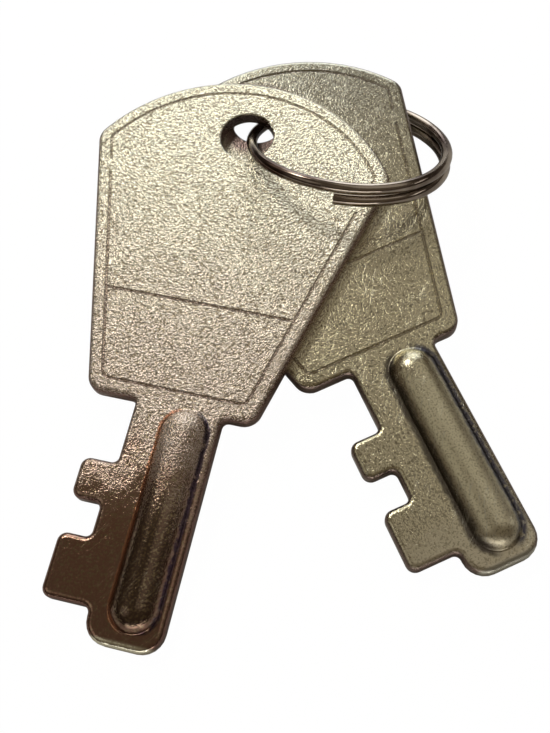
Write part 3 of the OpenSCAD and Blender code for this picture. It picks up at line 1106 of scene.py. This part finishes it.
@dataclass
class SplitRing:
    """A length of wire wound nearly two turns, which crosses from one layer to the other through the holes.

    Lengths are in millimetres. The two ends are turns in degrees, counted round the ring from the crossing.
    """

    wire: float = 0.75
    turn_gap: float = 0.08
    radius: float = 6.647
    lean: float = math.radians(31)
    turn: float = math.radians(17)
    outer_end: float = 94.0
    end_gap: float = 0.12
    hole_gap: float = 0.08
    key_gap: float = 0.1
    front_lift: float = 0.85
    end_round: float = 0.05
    sides: int = 20
    steps: int = 240
    sharp: float = 35.0
    sheet: float = KeySizes.sheet
    hole_d: float = KeySizes.hole_d
    finish: WireFinish = WireFinish()

    @property
    def pitch(self) -> float:
        """Distance from one layer of turns to the other."""
        return self.wire + self.turn_gap

    @property
    def inner_end(self) -> float:
        """Turn at which the inner end stops, clear of the rear key's lower face."""
        drop = self.key_gap / 2 + self.sheet + self.end_gap + self.wire / 2 + self.pitch * math.cos(self.lean)
        return math.degrees(math.asin(drop / (self.radius * math.sin(self.lean))))

    @property
    def front_hole(self) -> Vector:
        """Middle of the front key's hole, seen from the crossing: lifted by a share of the wire's play."""
        room = self.hole_d / 2 - self.hole_gap - self.wire / 2 / math.sin(self.lean)
        run = self.sheet / 2 / math.tan(self.lean)
        lift = self.front_lift * (room - run)
        aside = math.sqrt(room ** 2 - (run + lift) ** 2)
        height = (self.sheet + self.key_gap) / 2
        middle = Vector((-aside, -height / math.tan(self.lean) - lift, height))
        return Matrix.Rotation(-self.turn, 3, "Z") @ middle

    def build(self) -> Piece:
        """Wind the wire and give it its finish.

        Returns:
            The finished ring.
        """
        start = self.outer_end - 360
        span = 720 - self.outer_end - self.inner_end
        at = math.radians(start)
        ring = add_shape(
            bpy.ops.mesh.primitive_circle_add, "wound_ring", vertices=self.sides, radius=self.wire / 2,
            rotation=(math.pi / 2, 0, -at),
            location=(self.radius * (1 - math.cos(at)), self.radius * math.sin(at), 0),
        )
        with shaping(ring, "EDGE"):
            bpy.ops.mesh.spin(
                steps=self.steps, angle=math.radians(span), center=(self.radius, 0, 0), axis=(0, 0, 1),
                use_auto_merge=False,
            )
        for index, vertex in enumerate(ring.data.vertices):
            turn = start + span * (index // self.sides) / self.steps
            vertex.co.z += self._layer(turn) - self._layer(0.0)
        with shaping(ring, "EDGE"):
            bpy.ops.mesh.select_all(action="DESELECT")
            bpy.ops.mesh.select_non_manifold(extend=False)
            bpy.ops.mesh.edge_face_add()
            bpy.ops.mesh.bevel(offset=self.end_round, segments=2, affect="EDGES", clamp_overlap=False)
            face_outwards()
        smooth(ring, self.sharp)
        put(ring, self._place())
        self.dress(ring)
        return ring

    def _layer(self, turn: float) -> float:
        """Give the wire's place across the ring's thickness at a turn."""
        share = (turn + self.inner_end) / (self.outer_end + self.inner_end)
        share = min(max(share, 0.0), 1.0)
        return self.pitch * (0.5 - share * share * (3 - 2 * share))

    def _place(self) -> Matrix:
        """Give the ring's drawing frame in the row's frame."""
        crossing = resting("front_key_swing") @ Matrix.Translation(self.front_hole * -MM)
        up = Vector((0, -math.cos(self.lean), math.sin(self.lean)))
        axis = Vector((0, -math.sin(self.lean), -math.cos(self.lean)))
        drawing = Matrix(((1, 0, 0), up, axis)).transposed().to_4x4()
        return crossing @ Matrix.Rotation(-self.turn, 4, "Z") @ drawing @ Matrix.Scale(MM, 4)

    def dress(self, ring: Piece) -> None:
        """Give the ring its finish and its place in the model."""
        ring.data.materials.clear()
        ring.data.materials.append(self.finish.material())
        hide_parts("split_ring")
        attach(ring, "ring")


# The studio


@dataclass(frozen=True)
class SoftLamp:
    """A soft lamp that faces the keys: its size is its height, and it is so many times as wide."""

    name: str
    way: Spot
    distance: float
    size: float
    level: float
    color: Color
    wide: float = 1.0
    aim: Spot = (0.0, 0.0, 0.003)

    def build(self) -> None:
        """Hang the lamp."""
        data = bpy.data.lights.new(self.name, "AREA")
        data.shape = "RECTANGLE"
        data.size = self.size * self.wide
        data.size_y = self.size
        data.energy = self.level * math.pi * self.wide * self.size ** 2
        data.color = self.color
        lamp = bpy.data.objects.new(self.name, data)
        bpy.context.scene.collection.objects.link(lamp)
        way = Vector(self.way).normalized()
        lamp.location = Vector(self.aim) + way * self.distance
        lamp.rotation_euler = way.to_track_quat("Z", "Y").to_euler()


@dataclass
class Studio:
    """Floor, surroundings, lamps and camera."""

    lamps: tuple[SoftLamp, ...] = (
        SoftLamp("key_lamp", (-0.38, 0.52, 0.77), 0.26, 0.055, 14.0, (1.0, 0.98, 0.92)),
        SoftLamp("bow_softbox", (-0.44, 0.64, 0.68), 0.26, 0.16, 0.8, (1.0, 0.98, 0.92)),
        SoftLamp("overhead_panel", (0.42, 0.20, 0.88), 0.30, 0.26, 0.32, (1.0, 0.97, 0.90)),
        SoftLamp("left_panel", (-0.665, -0.27, 0.695), 0.30, 0.15, 0.40, (1.0, 0.98, 0.90)),
        SoftLamp("rear_window", (0.05, 0.93, 0.36), 0.30, 0.18, 2.6, (0.92, 0.96, 1.0)),
        SoftLamp("front_strip", (0.0, -1.0, 0.04), 0.30, 0.02, 7.0, (1.0, 0.97, 0.92), 17.0),
        SoftLamp("right_strip", (0.92, 0.14, 0.36), 0.30, 0.025, 2.2, (1.0, 0.98, 0.94), 5.0),
    )
    floor_size: float = 3.0
    low_sky: Color = (0.075, 0.058, 0.045)
    high_sky: Color = (0.130, 0.105, 0.075)
    dark_paper: Color = (0.78, 0.775, 0.765)
    light_paper: Color = (0.82, 0.815, 0.805)
    glow: float = 1.02
    glow_share: float = 0.97
    camera_spot: Spot = (0.75099, -31.45119, 58.23808)
    camera_right: Spot = (0.99909, -0.02396, -0.03523)
    camera_down: Spot = (-0.03721, -0.89343, -0.44765)
    lens: float = 49.113
    sensor: float = 36.0

    def build(self) -> None:
        """Set up the whole studio."""
        bpy.context.scene.view_settings.view_transform = "Standard"
        self._camera()
        self._floor()
        self._surroundings()
        for lamp in self.lamps:
            lamp.build()

    def _camera(self) -> None:
        """Put the camera where the photograph was taken from."""
        data = bpy.data.cameras.new("photo_camera")
        data.lens = self.lens
        data.sensor_width = self.sensor
        data.clip_start = 0.001
        data.clip_end = 10.0
        camera = bpy.data.objects.new("photo_camera", data)
        bpy.context.scene.collection.objects.link(camera)
        right = Vector(self.camera_right).normalized()
        up = -Vector(self.camera_down).normalized()
        back = right.cross(up).normalized()
        turn = Matrix((right, back.cross(right), back)).transposed().to_4x4()
        camera.matrix_world = Matrix.Translation(Vector(self.camera_spot) * MM) @ turn
        bpy.context.scene.camera = camera

    def _floor(self) -> None:
        """Lay the pale floor: white to the camera, and plain lit paper to everything else."""
        floor = add_shape(bpy.ops.mesh.primitive_plane_add, "floor", size=self.floor_size)
        made, wire, shader = new_material("pale_floor")
        shader.inputs["Roughness"].default_value = 0.9
        shader.inputs["Specular IOR Level"].default_value = 0.1
        spot = wire.add("ShaderNodeTexCoord").outputs["Object"]
        shade = wire.between(wire.noise(spot, 900.0, 2.0), 0.3, 0.7)
        wire.feed(shader.inputs["Base Color"], wire.blend(shade, self.dark_paper, self.light_paper))
        seen = wire.add("ShaderNodeLightPath").outputs["Is Camera Ray"]
        glow = wire.add("ShaderNodeEmission", Color=WHITE, Strength=self.glow)
        mix = wire.add("ShaderNodeMixShader")
        wire.feed(mix.inputs[0], wire.sum("MULTIPLY", seen, self.glow_share))
        wire.feed(mix.inputs[1], shader.outputs[0])
        wire.feed(mix.inputs[2], glow.outputs[0])
        wire.feed(made.node_tree.nodes["Material Output"].inputs["Surface"], mix.outputs[0])
        floor.data.materials.append(made)

    def _surroundings(self) -> None:
        """Light the scene from a plain dim room, which the camera sees as white."""
        world = bpy.data.worlds.new("room")
        world.use_nodes = True
        bpy.context.scene.world = world
        wire = Wiring(world.node_tree)
        level = wire.parts(wire.add("ShaderNodeTexCoord").outputs["Generated"])["Z"]
        room = wire.blend(wire.between(level, 0.15, 0.75), self.low_sky, self.high_sky)
        seen = wire.add("ShaderNodeLightPath").outputs["Is Camera Ray"]
        background = world.node_tree.nodes["Background"]
        wire.feed(background.inputs["Color"], wire.blend(seen, room, WHITE))
        background.inputs["Strength"].default_value = 1.0


def report(piece: Piece) -> None:
    """Log a finished piece.

    Args:
        piece: The piece.
    """
    triangles = sum(len(face.vertices) - 2 for face in piece.data.polygons)
    LOG.info("%s: %d triangles", piece.name, triangles)


def main() -> None:
    """Build the studio, then the keys and their ring."""
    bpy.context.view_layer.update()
    Studio().build()
    build_grain()
    build_wear()
    build_scratches()
    build_places(KeySizes())
    blank = KeyBlank().build()
    keys = (
        StampedKey("front_key_plated", "front_key", "key_in_front", "front_key_swing", -15.0, FRONT_FINISH),
        StampedKey("rear_key_plated", "rear_key", "key_behind", "rear_key_swing", 22.0, REAR_FINISH),
    )
    for key in keys:
        report(key.build(blank))
    bpy.data.objects.remove(blank, do_unlink=True)
    report(SplitRing().build())


if __name__ == "__main__":
    main()
